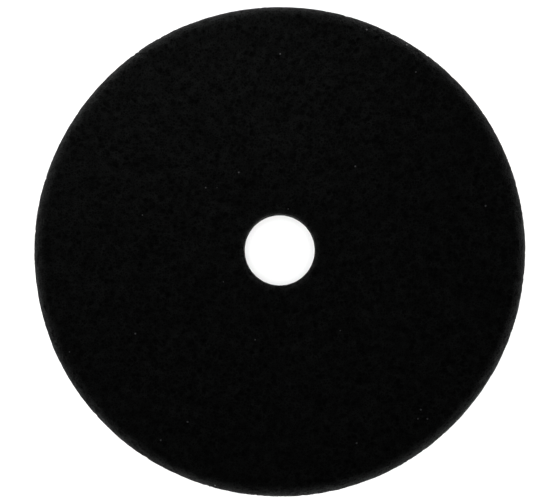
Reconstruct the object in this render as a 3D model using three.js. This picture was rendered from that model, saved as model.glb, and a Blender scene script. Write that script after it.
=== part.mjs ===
// A round foam finishing pad for a car polisher, in millimetres.
// +Z runs along the spin axis, from the loop backing to the working face.
// The origin is the centre of the loop face, which sits on the polisher's backing plate.
// From the bottom up, the pad is loop fabric, a thin bond of hot-melt film, and foam.

import * as THREE from 'three';

// Driving dimensions
const FACE_DIAMETER = 178;
const BACKING_DIAMETER = 150;
const HOLE_DIAMETER = 25.8;
const LOOP_HEIGHT = 2.5;
const FILM_HEIGHT = 0.25;
const FOAM_HEIGHT = 25;
const FACE_EDGE_RADIUS = 4.5;
const HOLE_EDGE_RADIUS = 2;
const FOAM_FOOT_LIP = 1.5;

// Facets around the spin axis, and half the facets along each rounded edge
const SIDES = 72;
const HALF_EDGE_FACETS = 4;

const HOLE_RADIUS = HOLE_DIAMETER / 2;
const FACE_RADIUS = FACE_DIAMETER / 2;
const BACKING_RADIUS = BACKING_DIAMETER / 2;
const FOAM_FOOT_RADIUS = BACKING_RADIUS + FOAM_FOOT_LIP;

const FOAM_BLACK = new THREE.MeshStandardMaterial({
  color: 0x0c0c0d,
  roughness: 0.95,
  metalness: 0,
});

const BOND_SMOKE = new THREE.MeshStandardMaterial({
  color: 0x3b3b39,
  roughness: 0.45,
  metalness: 0,
});

const LOOP_CHARCOAL = new THREE.MeshStandardMaterial({
  color: 0x3c3d40,
  roughness: 0.85,
  metalness: 0,
});

// Turns a closed outline of (radius, height) points about the spin axis, standing on z = base.
function layer(name, outline, base, material) {
  const geometry = new THREE.LatheGeometry(outline, SIDES);
  geometry.rotateX(Math.PI / 2);
  const mesh = new THREE.Mesh(geometry, material);
  mesh.name = name;
  mesh.position.z = base;
  return mesh;
}

// A flat ring from the hole out to a radius.
function ringOutline(radius, height) {
  const path = new THREE.Path();
  path.moveTo(HOLE_RADIUS, 0);
  path.lineTo(radius, 0);
  path.lineTo(radius, height);
  path.lineTo(HOLE_RADIUS, height);
  path.closePath();
  return path.getPoints();
}

// The foam widens from its foot to the working face. Its flank runs straight into the rounded
// edge of the face, and a smaller round leads from the face down into the hole.
function foamOutline() {
  const foot = new THREE.Vector2(FOAM_FOOT_RADIUS, 0);
  const faceEdge = new THREE.Vector2(FACE_RADIUS - FACE_EDGE_RADIUS, FOAM_HEIGHT - FACE_EDGE_RADIUS);
  const holeEdge = new THREE.Vector2(HOLE_RADIUS + HOLE_EDGE_RADIUS, FOAM_HEIGHT - HOLE_EDGE_RADIUS);
  const toEdge = faceEdge.clone().sub(foot);
  const flankAngle = toEdge.angle() - Math.asin(FACE_EDGE_RADIUS / toEdge.length());

  const path = new THREE.Path();
  path.moveTo(HOLE_RADIUS, 0);
  path.lineTo(foot.x, foot.y);
  path.absarc(faceEdge.x, faceEdge.y, FACE_EDGE_RADIUS, flankAngle - Math.PI / 2, Math.PI / 2);
  path.absarc(holeEdge.x, holeEdge.y, HOLE_EDGE_RADIUS, Math.PI / 2, Math.PI);
  path.closePath();
  return path.getPoints(HALF_EDGE_FACETS);
}

function loopBacking() {
  return layer('loop_backing', ringOutline(BACKING_RADIUS, LOOP_HEIGHT), 0, LOOP_CHARCOAL);
}

function adhesiveFilm() {
  return layer('adhesive_film', ringOutline(BACKING_RADIUS, FILM_HEIGHT), LOOP_HEIGHT, BOND_SMOKE);
}

function foamPad() {
  return layer('foam_pad', foamOutline(), LOOP_HEIGHT + FILM_HEIGHT, FOAM_BLACK);
}

const pad = new THREE.Group();
pad.add(loopBacking(), adhesiveFilm(), foamPad());

export default pad;
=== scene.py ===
import math

import bpy
import numpy as np
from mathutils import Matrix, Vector, noise


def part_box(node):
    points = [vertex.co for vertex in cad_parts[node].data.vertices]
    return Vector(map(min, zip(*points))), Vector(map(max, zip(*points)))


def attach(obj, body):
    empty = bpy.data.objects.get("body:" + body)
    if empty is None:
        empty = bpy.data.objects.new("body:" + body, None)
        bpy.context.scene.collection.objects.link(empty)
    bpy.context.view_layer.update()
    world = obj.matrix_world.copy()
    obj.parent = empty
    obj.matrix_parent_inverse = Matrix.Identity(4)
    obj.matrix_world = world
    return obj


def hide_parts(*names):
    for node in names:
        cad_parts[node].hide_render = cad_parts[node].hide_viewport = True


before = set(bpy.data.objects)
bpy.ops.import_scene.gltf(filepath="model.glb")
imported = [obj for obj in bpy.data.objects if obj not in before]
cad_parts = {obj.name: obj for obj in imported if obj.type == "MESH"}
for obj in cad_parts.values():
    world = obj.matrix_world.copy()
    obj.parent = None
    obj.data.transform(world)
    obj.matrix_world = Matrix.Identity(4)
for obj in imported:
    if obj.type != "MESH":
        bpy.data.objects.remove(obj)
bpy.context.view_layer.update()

# The looks of a round foam polishing pad: open-cell foam, its bond line, and the loop fabric on its
# back. Lengths are in metres in the CAD frame: +Z up, z = 0 on the loop face, X and Y in that face.

MM = 0.001
SEED = 20
UP = Vector((0, 0, 1))
QUARTER_TURN = math.pi / 2

# Places and sizes that the CAD model gives
FOAM_LOW, FOAM_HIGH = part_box("foam_pad")
FILM_LOW, FILM_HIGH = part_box("adhesive_film")
LOOP_LOW, LOOP_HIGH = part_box("loop_backing")
FACE_RADIUS = (FOAM_HIGH.x - FOAM_LOW.x) / 2
BACKING_RADIUS = (LOOP_HIGH.x - LOOP_LOW.x) / 2
HOLE_RADIUS = min(v.co.xy.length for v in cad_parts["loop_backing"].data.vertices)

# The foam's section, as in the CAD model, with its foot's sharp edge a little worn
FACE_EDGE_RADIUS = 4.5 * MM
HOLE_EDGE_RADIUS = 2 * MM
FOOT_EDGE_RADIUS = 0.5 * MM
FOOT_LIP = 1.5 * MM

# How far the cut outline strays from a circle: lobes, height, and the angle of the first lobe
CUT_STRAY = ((2, 0.18 * MM, math.radians(22)), (4, 0.09 * MM, math.radians(37)))
HOLE_OFFSET = Vector((-0.04 * MM, 0.65 * MM, 0))

# Spacing of mesh points: on the foam, in the hole, where nothing shows, across the bead, over the
# knitted ground, and up and along the ground's edges
FOAM_STEP = 0.68 * MM
BORE_STEP = 0.8 * MM
HIDDEN_STEP = 3 * MM
BEAD_STEP = 0.1 * MM
GROUND_STEP = 1.1 * MM
GROUND_EDGE_STEP = 0.25 * MM
GROUND_EDGE_SPACING = 0.7 * MM

# The foam's shape: cells that the mesh itself holds, swells over them as (size, height), how far its
# points stray sideways, and how far up from the glued foot all of this fades in. A coarse cell's wall
# slopes down over COARSE_WALL, which is in cell sizes.
COARSE_CELL = 2 * MM
COARSE_PIT = 0.3 * MM
COARSE_WALL = (0.05, 0.5)
CENTRE_SPREAD = 40
FOAM_SWELLS = ((30 * MM, 0.16 * MM), (4 * MM, 0.08 * MM))
POINT_SHIFT = 0.1 * MM
GLUED_RIM = 1.5 * MM

# The foam's material: two sizes of finer cells, and soft clumps as (size, detail, darkest shade),
# darkest where their noise is at CLUMP_DARK and gone where it is at CLUMP_CLEAR
FINE_CELL = 0.95 * MM
FINEST_CELL = 0.42 * MM
FINE_SHARE = 0.7
CLUMPS = ((3 * MM, 1.0, 0.58), (9 * MM, 2.0, 0.77), (45 * MM, 2.0, 0.85))
CLUMP_DARK = 0.32
CLUMP_CLEAR = 0.66
FOAM_BUMP = 0.16 * MM

# A cell: how open the most closed one is, and where its strut begins and ends, in cell sizes from
# its wall
LEAST_OPEN = 0.3
STRUT_START = 0.02
STRUT_END = 0.26

# How much the finer and the coarse cells count in the foam's colour, and how far an open cell drops
FINER_DEPTH = 0.8
COARSE_DEPTH = 0.5
OPEN_CELL_DROP = 0.6

# The foam's colour, from the top of a strut to the bottom of a cell, darker deeper down as painted
# shade
FOAM_COLOUR_AND_PAINTED_SHADE = (
    (0.0, (0.034, 0.0364, 0.0355)),
    (0.35, (0.0147, 0.0158, 0.0154)),
    (1.0, (0.003, 0.0032, 0.0031)),
)
# Painted rim light for the hole's cut edge: lighter shades, also darker deeper in as painted shade
RIM_LIGHT_SHADES = (
    (0.0, (0.16, 0.162, 0.161)),
    (0.5, (0.075, 0.076, 0.075)),
    (1.0, (0.015, 0.015, 0.015)),
)

# Painted rim light at the hole's cut edge: its width, the angle at which it is strongest, and how much
# its strength swings around the hole
RIM_LIGHT_WIDTH = 2.2 * MM
RIM_LIGHT_BRIGHTEST = math.radians(120)
RIM_LIGHT_SWING = 0.34

# Painted glints where a cell's skin would catch the light: one cell in about 450, only the middle of
# each
GLINT_CELL = 1.1 * MM
GLINT_THRESHOLD = 0.9978
GLINT_SIZE = 0.3
PAINTED_GLINT_COLOUR = (0.25, 0.25, 0.26, 1)

# The bond line's bead: how far its round lies inside the cloth's edge, how far in from that edge the
# press squeezed it, and how unevenly, as swells of (size, height). Then the marks of its flow.
BEAD_INSET = 0.1 * MM
BEAD_FADE = 1 * MM
BEAD_SWELLS = ((3 * MM, 0.35 * MM), (9 * MM, 0.21 * MM))
FLOW_SIZE = 2.2 * MM
FLOW_BUMP = 0.08 * MM

# The loop fabric's knitted ground, and the waves of its underside, as swells of (size, height)
GROUND_THICKNESS = 0.5 * MM
GROUND_RADIUS = BACKING_RADIUS - 0.1 * MM
GROUND_SWELLS = ((2.5 * MM, 0.12 * MM),)
STITCH_WIDTH = 0.9 * MM
STITCH_LENGTH = 0.7 * MM
STITCH_BUMP = 0.15 * MM

# A loop of the pile. Here and below, a pair of lengths is the least and the most of one that varies.
# The clearance is what a loop leaves between itself and the surface that the pad stands on. The belly
# is how much the loop widens, in loop widths. The lower the power of its drop, the squarer its bottom.
LOOP_POINTS = 6
LOOP_BELLY = 0.35
LOOP_DROP_POWER = 0.75
LOOP_ROOT_DEPTH = 0.1 * MM
LOOP_WIDTH = (1.3 * MM, 2.1 * MM)
LOOP_CLEARANCE = (0.15 * MM, 0.7 * MM)

# The loops' yarn, its grain, and the patches where it has worn
YARN_RADIUS = 0.15 * MM
YARN_GRAIN = 1.5 * MM
WORN_PATCH = 25 * MM

# The rows of loops
PILE_INNER_RADIUS = HOLE_RADIUS + 2 * MM
PILE_OUTER_RADIUS = BACKING_RADIUS - 0.5 * MM
PILE_PITCH = 1.735 * MM
PILE_SHIFT = 0.55 * MM
PILE_LEAN = (0.2 * MM, 1.1 * MM)

# The fringes of loops along the cut edges of the cloth. The shift is in pitches, and the twist and
# stray are in radians.
HOLE_FRINGE_RADIUS = HOLE_RADIUS + 0.6 * MM
FRINGE_PITCH = 0.9 * MM
FRINGE_INSET = (0.3 * MM, 0.9 * MM)
FRINGE_LEAN = (0.2 * MM, 1.2 * MM)
FRINGE_SHIFT = 0.4
FRINGE_TWIST = 0.5
FRINGE_STRAY = 0.6

# The stage, and the camera, which looks at AIM from a little off the spin axis and fills FACE_SHARE
# of its picture's width with the working face
SENSOR_WIDTH = 36
CAMERA_DISTANCE = 1.6
CAMERA_TILT = math.radians(0.6)
AIM = Vector((0.07 * MM, -0.145 * MM))
FACE_SHARE = 0.8765
FLOOR_SIZE = 24
FLOOR_DROP = 0.02 * MM

rng = np.random.default_rng(SEED)


# ---- Turned meshes ---------------------------------------------------------------------------

def straight(start, end, step, spacing=None):
    """Samples of a line of the section, without its end: radius, height, normal and point spacing.

    step lies between samples, and spacing, or step again, between the points of a sample's ring."""
    (r0, z0), (r1, z1) = start, end
    length = math.hypot(r1 - r0, z1 - z0)
    count = max(1, round(length / step))
    normal = ((z1 - z0) / length, (r0 - r1) / length)
    return [
        (r0 + (r1 - r0) * i / count, z0 + (z1 - z0) * i / count, *normal, spacing or step)
        for i in range(count)
    ]


def rounded(centre, radius, start, end, step, spacing=None):
    """Samples of an arc of the section, turning anticlockwise, without its end."""
    count = max(2, round(radius * (end - start) / step))
    samples = []
    for i in range(count):
        angle = start + (end - start) * i / count
        away = (math.cos(angle), math.sin(angle))
        place = (centre[0] + radius * away[0], centre[1] + radius * away[1])
        samples.append((*place, *away, spacing or step))
    return samples


def stitch(inner, outer):
    """Triangles between two rings, each a list of (angle, vertex), turning as the section does."""
    a = inner + [(inner[0][0] + math.tau, inner[0][1])]
    b = outer + [(outer[0][0] + math.tau, outer[0][1])]
    i = j = 0
    faces = []
    while i < len(inner) or j < len(outer):
        if j == len(outer) or (i < len(inner) and a[i + 1][0] <= b[j + 1][0]):
            faces.append((a[i][1], a[i + 1][1], b[j][1]))
            i += 1
        else:
            faces.append((a[i][1], b[j + 1][1], b[j][1]))
            j += 1
    return faces


def turned(section):
    """Points, outward normals and faces of a closed section turned about the Z axis.

    Each ring has its own number of points, so that they lie evenly all over the surface."""
    points, normals, rings = [], [], []
    for r, z, nr, nz, spacing in section:
        count = max(12, round(math.tau * r / spacing))
        phase = rng.random() * math.tau / count
        ring = []
        for k in range(count):
            angle = phase + math.tau * k / count
            c, s = math.cos(angle), math.sin(angle)
            ring.append((angle, len(points)))
            points.append((r * c, r * s, z))
            normals.append((nr * c, nr * s, nz))
        rings.append(ring)
    faces = []
    for ring, following in zip(rings, rings[1:] + rings[:1]):
        faces.extend(stitch(ring, following))
    return np.array(points), np.array(normals), faces


def smoothstep(low, high, x):
    t = np.clip((x - low) / (high - low), 0, 1)
    return t * t * (3 - 2 * t)


def radii(points):
    return np.hypot(points[:, 0], points[:, 1])


def angles(points):
    return np.arctan2(points[:, 1], points[:, 0])


def relief(points, swells):
    """How high smooth swells, given as (size, height), lift the surface at each point."""
    heights = np.zeros(len(points))
    for size, height in swells:
        heights += [height * noise.noise(Vector(point) / size) for point in points]
    return heights


def out_of_round(points):
    """Moves points as the die and the soft foam leave the cut: a little oval, the hole off centre."""
    radius = radii(points)
    share = smoothstep(HOLE_RADIUS, FACE_RADIUS, radius)
    stray = sum(high * np.cos(lobes * (angles(points) - start)) for lobes, high, start in CUT_STRAY)
    moved = points.copy()
    moved[:, :2] *= (1 + stray * share / radius)[:, None]
    near_hole = 1 - smoothstep(HOLE_RADIUS, 3 * HOLE_RADIUS, radius)
    moved += near_hole[:, None] * np.array(HOLE_OFFSET)
    return moved


def new_piece(name, points, faces, material):
    mesh = bpy.data.meshes.new(name)
    mesh.from_pydata(np.asarray(points).tolist(), [], faces)
    mesh.shade_smooth()
    mesh.materials.append(material)
    piece = bpy.data.objects.new(name, mesh)
    bpy.context.scene.collection.objects.link(piece)
    return piece


def point_values(piece, name, values):
    """A named number at each of a piece's points, for its material to read."""
    attribute = piece.data.attributes.new(name, "FLOAT", "POINT")
    attribute.data.foreach_set("value", values.astype(np.float32))


# ---- Nodes -----------------------------------------------------------------------------------

def add(tree, kind, inputs=None, **settings):
    """A node with its settings, and its inputs given as values or as the sockets that feed them."""
    node = tree.nodes.new(kind)
    for key, value in settings.items():
        setattr(node, key, value)
    for key, value in (inputs or {}).items():
        if isinstance(value, bpy.types.NodeSocket):
            tree.links.new(value, node.inputs[key])
        else:
            node.inputs[key].default_value = value
    return node


def new_material(name, **values):
    """A material, its node tree and its shader, with the shader's plain values."""
    material = bpy.data.materials.new(name)
    material.use_nodes = True
    shader = material.node_tree.nodes["Principled BSDF"]
    for key, value in values.items():
        shader.inputs[key.replace("_", " ")].default_value = value
    return material, material.node_tree, shader


def finish_shader(tree, shader, colour, roughness, bump=None):
    tree.links.new(colour, shader.inputs["Base Color"])
    tree.links.new(roughness, shader.inputs["Roughness"])
    if bump:
        tree.links.new(bump, shader.inputs["Normal"])


def bumped(tree, height, strength, distance):
    inputs = {"Strength": strength, "Distance": distance, "Height": height}
    return add(tree, "ShaderNodeBump", inputs).outputs["Normal"]


def object_coords(tree):
    return add(tree, "ShaderNodeTexCoord").outputs["Object"]


def point_value(tree, name):
    return add(tree, "ShaderNodeAttribute", attribute_name=name).outputs["Fac"]


def math_node(tree, operation, a, b):
    return add(tree, "ShaderNodeMath", {0: a, 1: b}, operation=operation).outputs["Value"]


def weighed(tree, a, share_a, b, share_b):
    """a * share_a + b * share_b"""
    first = math_node(tree, "MULTIPLY", a, share_a)
    return math_node(tree, "ADD", first, math_node(tree, "MULTIPLY", b, share_b))


def map_range(tree, value, low, high, to_low, to_high):
    inputs = {"Value": value, "From Min": low, "From Max": high, "To Min": to_low, "To Max": to_high}
    return add(tree, "ShaderNodeMapRange", inputs).outputs["Result"]


def grey(level):
    return (level, level, level)


def ramp(tree, value, *stops):
    """A colour ramp of (place, colour) stops."""
    node = add(tree, "ShaderNodeValToRGB", {"Fac": value})
    elements = node.color_ramp.elements
    while len(elements) < len(stops):
        elements.new(0.5)
    for element, (place, colour) in zip(elements, stops):
        element.position = place
        element.color = (*colour, 1)
    return node.outputs["Color"]


def mixed(tree, share, a, b, blend_type="MIX"):
    """Colours a and b mixed. A Mix node takes colours at its inputs 6 and 7 and gives one at 2."""
    inputs = {0: share, 6: a, 7: b}
    return add(tree, "ShaderNodeMix", inputs, data_type="RGBA", blend_type=blend_type).outputs[2]


def shaded(tree, colour, value, *stops):
    """The colour, darkened by a ramp of value."""
    return mixed(tree, 1.0, colour, ramp(tree, value, *stops), "MULTIPLY")


def noise_node(tree, place, size, detail=2.0):
    inputs = {"Vector": place, "Scale": 1 / size, "Detail": detail, "Roughness": 0.5}
    return add(tree, "ShaderNodeTexNoise", inputs).outputs["Fac"]


def bands(tree, place, width, distortion, direction):
    """Soft ridges across X or Y, width apart. At a scale of 1 they lie about 1 / pi apart."""
    inputs = {
        "Vector": place,
        "Scale": 1 / (math.pi * width),
        "Distortion": distortion,
        "Detail": 1.0,
        "Detail Scale": 1.5,
    }
    return add(tree, "ShaderNodeTexWave", inputs, bands_direction=direction).outputs["Fac"]


def voronoi(tree, place, size, feature="F1"):
    inputs = {"Vector": place, "Scale": 1 / size}
    return add(tree, "ShaderNodeTexVoronoi", inputs, feature=feature).outputs


def parts_of(tree, colour):
    """A cell's three random numbers, from its random colour."""
    return add(tree, "ShaderNodeSeparateColor", {"Color": colour}).outputs


def cells(tree, place, size):
    """Round open cells between struts: how near a strut, and how open the cell is."""
    random = parts_of(tree, voronoi(tree, place, size)["Color"])
    edge = voronoi(tree, place, size, "DISTANCE_TO_EDGE")["Distance"]
    strut = map_range(tree, edge, STRUT_START, STRUT_END, 1.0, 0.0)
    return strut, map_range(tree, random[0], 0.1, 0.9, LEAST_OPEN, 1.0)


# ---- Materials -------------------------------------------------------------------------------

def foam_material():
    """Open cells in black foam: hollows painted darker as shade between the struts, in soft clumps,
    with painted glints and painted rim light.
    """
    material, tree, shader = new_material(
        "open_cell_foam",
        Specular_IOR_Level=0.1,
        Sheen_Weight=0.006,
        Sheen_Roughness=0.6,
        Sheen_Tint=(0.5, 0.52, 0.51, 1),
    )
    place = object_coords(tree)
    strut, openness = cells(tree, place, FINE_CELL)
    thin_strut, _ = cells(tree, place, FINEST_CELL)
    strut = weighed(tree, strut, FINE_SHARE, thin_strut, 1 - FINE_SHARE)
    pit = math_node(tree, "MULTIPLY", math_node(tree, "SUBTRACT", 1.0, strut), openness)
    # Painted shade: the deeper in a fine cell or a coarse pit of the mesh, the darker the colour
    painted_shade_depth = weighed(tree, pit, FINER_DEPTH, point_value(tree, "pit"), COARSE_DEPTH)
    # Painted rim light along the hole's cut edge, stronger on one side
    rim_light_colour = ramp(tree, painted_shade_depth, *RIM_LIGHT_SHADES)
    colour = mixed(tree, point_value(tree, "painted_rim_light"), ramp(tree, painted_shade_depth, *FOAM_COLOUR_AND_PAINTED_SHADE), rim_light_colour)
    for size, detail, darkest in CLUMPS:
        clump = noise_node(tree, place, size, detail)
        shades = ((CLUMP_DARK, grey(darkest)), (CLUMP_CLEAR, grey(1.0)))
        colour = shaded(tree, colour, clump, *shades)

    # Painted glints: light grey in the middle of a few cells
    glint_cells = voronoi(tree, place, GLINT_CELL)
    glinting = math_node(tree, "GREATER_THAN", parts_of(tree, glint_cells["Color"])[1], GLINT_THRESHOLD)
    middle = math_node(tree, "LESS_THAN", glint_cells["Distance"], GLINT_SIZE)
    colour = mixed(tree, math_node(tree, "MULTIPLY", glinting, middle), colour, PAINTED_GLINT_COLOUR)

    drop = math_node(tree, "MULTIPLY", openness, OPEN_CELL_DROP)
    height = math_node(tree, "SUBTRACT", strut, drop)
    roughness = map_range(tree, pit, 0.0, 1.0, 0.72, 0.95)
    finish_shader(tree, shader, colour, roughness, bumped(tree, height, 0.9, FOAM_BUMP))
    return material


def bond_material():
    """Hot-melt film, cloudy and half glossy where it flowed."""
    material, tree, shader = new_material("hot_melt_bond")
    flow = noise_node(tree, object_coords(tree), FLOW_SIZE, 3.0)
    colour = ramp(tree, flow, (0.3, (0.018, 0.018, 0.017)), (0.75, (0.05, 0.049, 0.045)))
    roughness = map_range(tree, flow, 0.3, 0.7, 0.22, 0.45)
    finish_shader(tree, shader, colour, roughness, bumped(tree, flow, 0.5, FLOW_BUMP))
    return material


def ground_material():
    """A warp-knit ground: columns of small stitches along Y."""
    material, tree, shader = new_material("knit_ground")
    place = object_coords(tree)
    wales = bands(tree, place, STITCH_WIDTH, 1.2, "X")
    courses = bands(tree, place, STITCH_LENGTH, 1.5, "Y")
    height = math_node(tree, "MULTIPLY", wales, courses)
    colour = ramp(tree, height, (0.0, (0.018, 0.018, 0.019)), (1.0, (0.085, 0.085, 0.09)))
    roughness = map_range(tree, height, 0.0, 1.0, 0.95, 0.7)
    finish_shader(tree, shader, colour, roughness, bumped(tree, height, 0.9, STITCH_BUMP))
    return material


def pile_material():
    """Nylon yarn with a soft sheen, duller here and there where it has worn."""
    material, tree, shader = new_material("nylon_pile", Sheen_Weight=0.25, Sheen_Roughness=0.4)
    place = object_coords(tree)
    yarn = noise_node(tree, place, YARN_GRAIN)
    worn = noise_node(tree, place, WORN_PATCH)
    colour = ramp(tree, yarn, (0.25, (0.05, 0.05, 0.054)), (0.75, (0.13, 0.131, 0.138)))
    colour = shaded(tree, colour, worn, (0.3, grey(0.75)), (0.7, grey(1.0)))
    finish_shader(tree, shader, colour, map_range(tree, yarn, 0.2, 0.8, 0.62, 0.42))
    return material


# ---- Foam ------------------------------------------------------------------------------------

def foam_section():
    """The foam's section, from the hole's foot outwards, up the flank and in over the face."""
    foot, top = FOAM_LOW.z, FOAM_HIGH.z
    foot_radius = BACKING_RADIUS + FOOT_LIP
    face_edge = Vector((FACE_RADIUS - FACE_EDGE_RADIUS, top - FACE_EDGE_RADIUS))
    foot_edge = Vector((foot_radius - FOOT_EDGE_RADIUS, foot + FOOT_EDGE_RADIUS))
    hole_edge = Vector((HOLE_RADIUS + HOLE_EDGE_RADIUS, top - HOLE_EDGE_RADIUS))
    between = face_edge - foot_edge
    narrowing = math.asin((FACE_EDGE_RADIUS - FOOT_EDGE_RADIUS) / between.length)
    lean = math.atan2(between.y, between.x) - narrowing
    outward = Vector((math.sin(lean), -math.cos(lean)))
    flank = (foot_edge + outward * FOOT_EDGE_RADIUS, face_edge + outward * FACE_EDGE_RADIUS)
    visible_foot = BACKING_RADIUS - 1 * MM
    return (
        straight((HOLE_RADIUS, foot), (visible_foot, foot), HIDDEN_STEP)
        + straight((visible_foot, foot), (foot_edge.x, foot), FOAM_STEP)
        + rounded(foot_edge, FOOT_EDGE_RADIUS, -QUARTER_TURN, lean - QUARTER_TURN, FOAM_STEP)
        + straight(*flank, FOAM_STEP)
        + rounded(face_edge, FACE_EDGE_RADIUS, lean - QUARTER_TURN, QUARTER_TURN, FOAM_STEP)
        + straight((face_edge.x, top), (hole_edge.x, top), FOAM_STEP)
        + rounded(hole_edge, HOLE_EDGE_RADIUS, QUARTER_TURN, math.pi, FOAM_STEP)
        + straight((HOLE_RADIUS, hole_edge.y), (HOLE_RADIUS, foot), BORE_STEP)
    )


def cell_pits(points):
    """How deep each point lies in the coarse cells: 0 on their walls, up to 1 in the open ones.

    Half of the cells are as closed as can be, and a quarter are fully open. The centres are spread
    out to look their random numbers up, so that neighbours don't share one."""
    from_wall, openness = [], []
    for point in points:
        distances, centres = noise.voronoi(Vector(point) / COARSE_CELL)
        from_wall.append(distances[1] - distances[0])
        openness.append(noise.cell(centres[0] * CENTRE_SPREAD) * 0.5 + 0.5)
    hollow = smoothstep(*COARSE_WALL, np.array(from_wall))
    opened = smoothstep(0.5, 0.75, np.array(openness))
    return hollow * (LEAST_OPEN + (1 - LEAST_OPEN) * opened)


def rim_light_share(points):
    """How much painted rim light each point near the hole's cut edge gets, more on one side of the
    hole.
    """
    from_hole = radii(points) - HOLE_RADIUS
    below_face = FOAM_HIGH.z - points[:, 2]
    away = np.maximum(from_hole, below_face - HOLE_EDGE_RADIUS)
    around = 1 - RIM_LIGHT_SWING + RIM_LIGHT_SWING * np.cos(angles(points) - RIM_LIGHT_BRIGHTEST)
    return (1 - smoothstep(0, RIM_LIGHT_WIDTH, away)) * around


def make_foam():
    """The foam, with its coarse cells in the mesh and its fine ones in the material."""
    points, normals, faces = turned(foam_section())
    shown = smoothstep(FOAM_LOW.z, FOAM_LOW.z + GLUED_RIM, points[:, 2])
    shift = rng.normal(0, POINT_SHIFT, points.shape)
    along_normal = (shift * normals).sum(1)[:, None] * normals
    points += (shift - along_normal) * shown[:, None]
    pits = cell_pits(points)
    height = (relief(points, FOAM_SWELLS) - pits * COARSE_PIT) * shown
    points = out_of_round(points + normals * height[:, None])
    foam = new_piece("foam_body", points, faces, foam_material())
    # The coarse pits' depth, for the material to paint as shade in the hollows
    point_values(foam, "pit", pits * shown)
    # How much painted rim light each point gets
    point_values(foam, "painted_rim_light", rim_light_share(points))
    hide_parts("foam_pad")
    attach(foam, "root")


# ---- Bond line -------------------------------------------------------------------------------

def make_bond():
    """The film between foam and cloth, with the bead that the press squeezes out at the edge."""
    low, high = FILM_LOW.z, FILM_HIGH.z
    edge = BACKING_RADIUS - BEAD_INSET
    bead = ((edge, (low + high) / 2), (high - low) / 2)
    section = (
        straight((HOLE_RADIUS, low), (edge, low), HIDDEN_STEP)
        + rounded(*bead, -QUARTER_TURN, QUARTER_TURN, BEAD_STEP, FOAM_STEP)
        + straight((edge, high), (HOLE_RADIUS, high), HIDDEN_STEP)
        + straight((HOLE_RADIUS, high), (HOLE_RADIUS, low), BORE_STEP)
    )
    points, _, faces = turned(section)
    radius = radii(points)
    at_edge = smoothstep(BACKING_RADIUS - BEAD_FADE, BACKING_RADIUS, radius)
    squeeze = relief(points, BEAD_SWELLS) * at_edge
    outward = points * [1, 1, 0] / radius[:, None]
    points = out_of_round(points + outward * squeeze[:, None])
    bond = new_piece("bond_line", points, faces, bond_material())
    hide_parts("adhesive_film")
    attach(bond, "root")
    return bond


# ---- Loop fabric -----------------------------------------------------------------------------

def make_cloth():
    """The knitted ground that the pile stands on."""
    low, high = LOOP_HIGH.z - GROUND_THICKNESS, LOOP_HIGH.z
    edge_steps = (GROUND_EDGE_STEP, GROUND_EDGE_SPACING)
    section = (
        straight((HOLE_RADIUS, low), (GROUND_RADIUS, low), GROUND_STEP)
        + straight((GROUND_RADIUS, low), (GROUND_RADIUS, high), *edge_steps)
        + straight((GROUND_RADIUS, high), (HOLE_RADIUS, high), HIDDEN_STEP)
        + straight((HOLE_RADIUS, high), (HOLE_RADIUS, low), *edge_steps)
    )
    points, _, faces = turned(section)
    underside = points[:, 2] < low + GROUND_EDGE_STEP / 2
    points[underside, 2] += relief(points[underside], GROUND_SWELLS)
    cloth = new_piece("loop_cloth", out_of_round(points), faces, ground_material())
    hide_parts("loop_backing")
    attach(cloth, "root")
    return cloth


def flat_vector(angle):
    return Vector((math.cos(angle), math.sin(angle), 0))


def add_yarn(path, side, points, faces):
    """A closed three-sided yarn along path, added to points and faces. side is across the path."""
    first = len(points)
    for i, here in enumerate(path):
        ahead = path[min(i + 1, len(path) - 1)] - path[max(i - 1, 0)]
        across = ahead.cross(side).normalized()
        for k in range(3):
            turn = math.tau * k / 3
            points.append(here + (side * math.cos(turn) + across * math.sin(turn)) * YARN_RADIUS)
    for i in range(len(path) - 1):
        for k in range(3):
            a, b = first + 3 * i + k, first + 3 * i + (k + 1) % 3
            faces.append((a, b, b + 3, a + 3))
    last = len(points) - 3
    faces.append((first + 2, first + 1, first))
    faces.append((last, last + 1, last + 2))


def loop_path(foot, along, lean, width, height):
    """An arch of yarn hanging from the cloth, wider at its belly than at its feet."""
    path = []
    for i in range(LOOP_POINTS):
        t = i / (LOOP_POINTS - 1)
        drop = math.sin(math.pi * t) ** LOOP_DROP_POWER
        out = -math.cos(math.pi * t) * (0.5 + LOOP_BELLY * math.sin(math.pi * t))
        path.append(foot + along * width * out + lean * drop * drop - UP * height * drop)
    return path


def add_loop(x, y, along, lean, points, faces):
    """One loop of the pile with its feet at x, y, added to points and faces."""
    root_z = LOOP_HIGH.z - GROUND_THICKNESS + LOOP_ROOT_DEPTH
    width = rng.uniform(*LOOP_WIDTH)
    height = root_z - rng.uniform(*LOOP_CLEARANCE)
    path = loop_path(Vector((x, y, root_z)), along, lean, width, height)
    path = [Vector((p.x, p.y, max(p.z, YARN_RADIUS))) for p in path]
    add_yarn(path, along.cross(UP), points, faces)


def add_fringe(edge, into_cloth, points, faces):
    """Loops side by side along a round cut edge of the cloth, brushed away from the axis.

    into_cloth is 1 where the cloth lies outside the edge, and -1 where it lies inside."""
    count = round(math.tau * edge / FRINGE_PITCH)
    for k in range(count):
        angle = math.tau * (k + rng.uniform(-FRINGE_SHIFT, FRINGE_SHIFT)) / count
        foot = flat_vector(angle) * (edge + into_cloth * rng.uniform(*FRINGE_INSET))
        along = flat_vector(angle + QUARTER_TURN + rng.normal(0, FRINGE_TWIST))
        lean = flat_vector(angle + rng.normal(0, FRINGE_STRAY)) * rng.uniform(*FRINGE_LEAN)
        add_loop(foot.x, foot.y, along, lean, points, faces)


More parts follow.
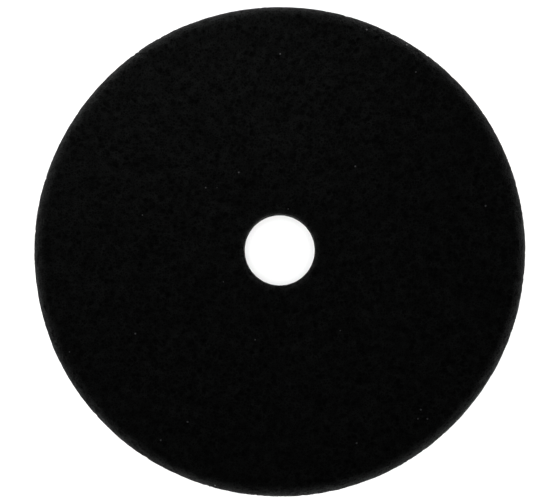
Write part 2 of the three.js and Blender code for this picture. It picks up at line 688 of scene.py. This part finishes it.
def make_pile():
    """Loops of nylon yarn in rows along Y, brushed over every which way, and a fringe at each edge."""
    points, faces = [], []
    rows = int(BACKING_RADIUS / PILE_PITCH)
    for row in range(-rows, rows + 1):
        for step in range(-rows, rows + 1):
            x = (row + 0.5 * (step % 2)) * PILE_PITCH + rng.normal(0, PILE_SHIFT)
            y = step * PILE_PITCH + rng.normal(0, PILE_SHIFT)
            turn, lean_turn = rng.uniform(0, math.tau, 2)
            lean = flat_vector(lean_turn) * rng.uniform(*PILE_LEAN)
            if PILE_INNER_RADIUS < math.hypot(x, y) < PILE_OUTER_RADIUS:
                add_loop(x, y, flat_vector(turn), lean, points, faces)
    add_fringe(BACKING_RADIUS, -1, points, faces)
    add_fringe(HOLE_FRINGE_RADIUS, 1, points, faces)
    pile = new_piece("loop_pile", out_of_round(np.array(points)), faces, pile_material())
    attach(pile, "root")
    return pile


# ---- Stage, light and camera -----------------------------------------------------------------

def make_floor():
    """A white floor that shines a little itself, so that its shadows stay soft."""
    material, _, _ = new_material(
        "white_floor",
        Base_Color=(0.8, 0.8, 0.8, 1),
        Roughness=0.9,
        Emission_Color=(1, 1, 1, 1),
        Emission_Strength=0.03,
    )
    half = FLOOR_SIZE / 2
    corners = [(-half, -half, 0), (half, -half, 0), (half, half, 0), (-half, half, 0)]
    floor = new_piece("floor", corners, [(0, 1, 2, 3)], material)
    floor.location.z = -FLOOR_DROP
    return floor


def new_light(name, kind, place, **settings):
    """A light at a place, turned to the origin."""
    light = bpy.data.objects.new(name, bpy.data.lights.new(name, kind))
    for key, value in settings.items():
        setattr(light.data, key, value)
    light.location = place
    light.rotation_euler = (-Vector(place)).to_track_quat("-Z", "Y").to_euler()
    bpy.context.scene.collection.objects.link(light)
    return light


def make_lights(floor):
    """A wide sun for the floor alone, a soft light from the upper left, and a low fill facing it."""
    sun = new_light("floor_sun", "SUN", (0, 0, 1), energy=7.4, angle=math.radians(50))
    receivers = bpy.data.collections.new("lit_by_floor_sun")
    receivers.objects.link(floor)
    sun.light_linking.receiver_collection = receivers
    soft_place = (-0.13, 0.25, 0.195)
    soft = new_light("soft_light", "AREA", soft_place, shape="DISK", size=0.14, energy=0.208)
    soft.visible_camera = False
    new_light("low_fill", "SUN", (0.4, -0.9, 0.09), energy=0.45, angle=math.radians(30))


def make_world():
    """A light tent: white at the horizon and dim overhead."""
    world = bpy.data.worlds.new("light_tent")
    bpy.context.scene.world = world
    world.use_nodes = True
    tree = world.node_tree
    direction = add(tree, "ShaderNodeTexCoord").outputs["Generated"]
    height = add(tree, "ShaderNodeSeparateXYZ", {"Vector": direction}).outputs["Z"]
    levels = ((0.05, 1.0), (0.09, 0.45), (0.17, 0.02), (1.0, 0.002))
    glow = ramp(tree, height, *((place, grey(level)) for place, level in levels))
    background = tree.nodes["Background"]
    tree.links.new(glow, background.inputs["Color"])
    background.inputs["Strength"].default_value = 1.05


def make_camera():
    """Looks down at the working face from just to its -Y side, with +Y up in the picture."""
    data = bpy.data.cameras.new("camera")
    data.sensor_fit = "HORIZONTAL"
    data.sensor_width = SENSOR_WIDTH
    view_width = 2 * FACE_RADIUS / FACE_SHARE
    data.lens = SENSOR_WIDTH * CAMERA_DISTANCE / view_width
    data.clip_start = 0.1
    data.clip_end = 2 * FLOOR_SIZE
    camera = bpy.data.objects.new("camera", data)
    bpy.context.scene.collection.objects.link(camera)
    target = Vector((*AIM, FOAM_HIGH.z - FACE_EDGE_RADIUS))
    back = Vector((0, -math.sin(CAMERA_TILT), math.cos(CAMERA_TILT)))
    camera.location = target + back * CAMERA_DISTANCE
    camera.rotation_euler = (CAMERA_TILT, 0, 0)
    bpy.context.scene.camera = camera


bpy.context.scene.view_settings.view_transform = "Standard"
make_camera()
make_world()
make_lights(make_floor())
make_foam()
bond = make_bond()
cloth = make_cloth()
pile = make_pile()
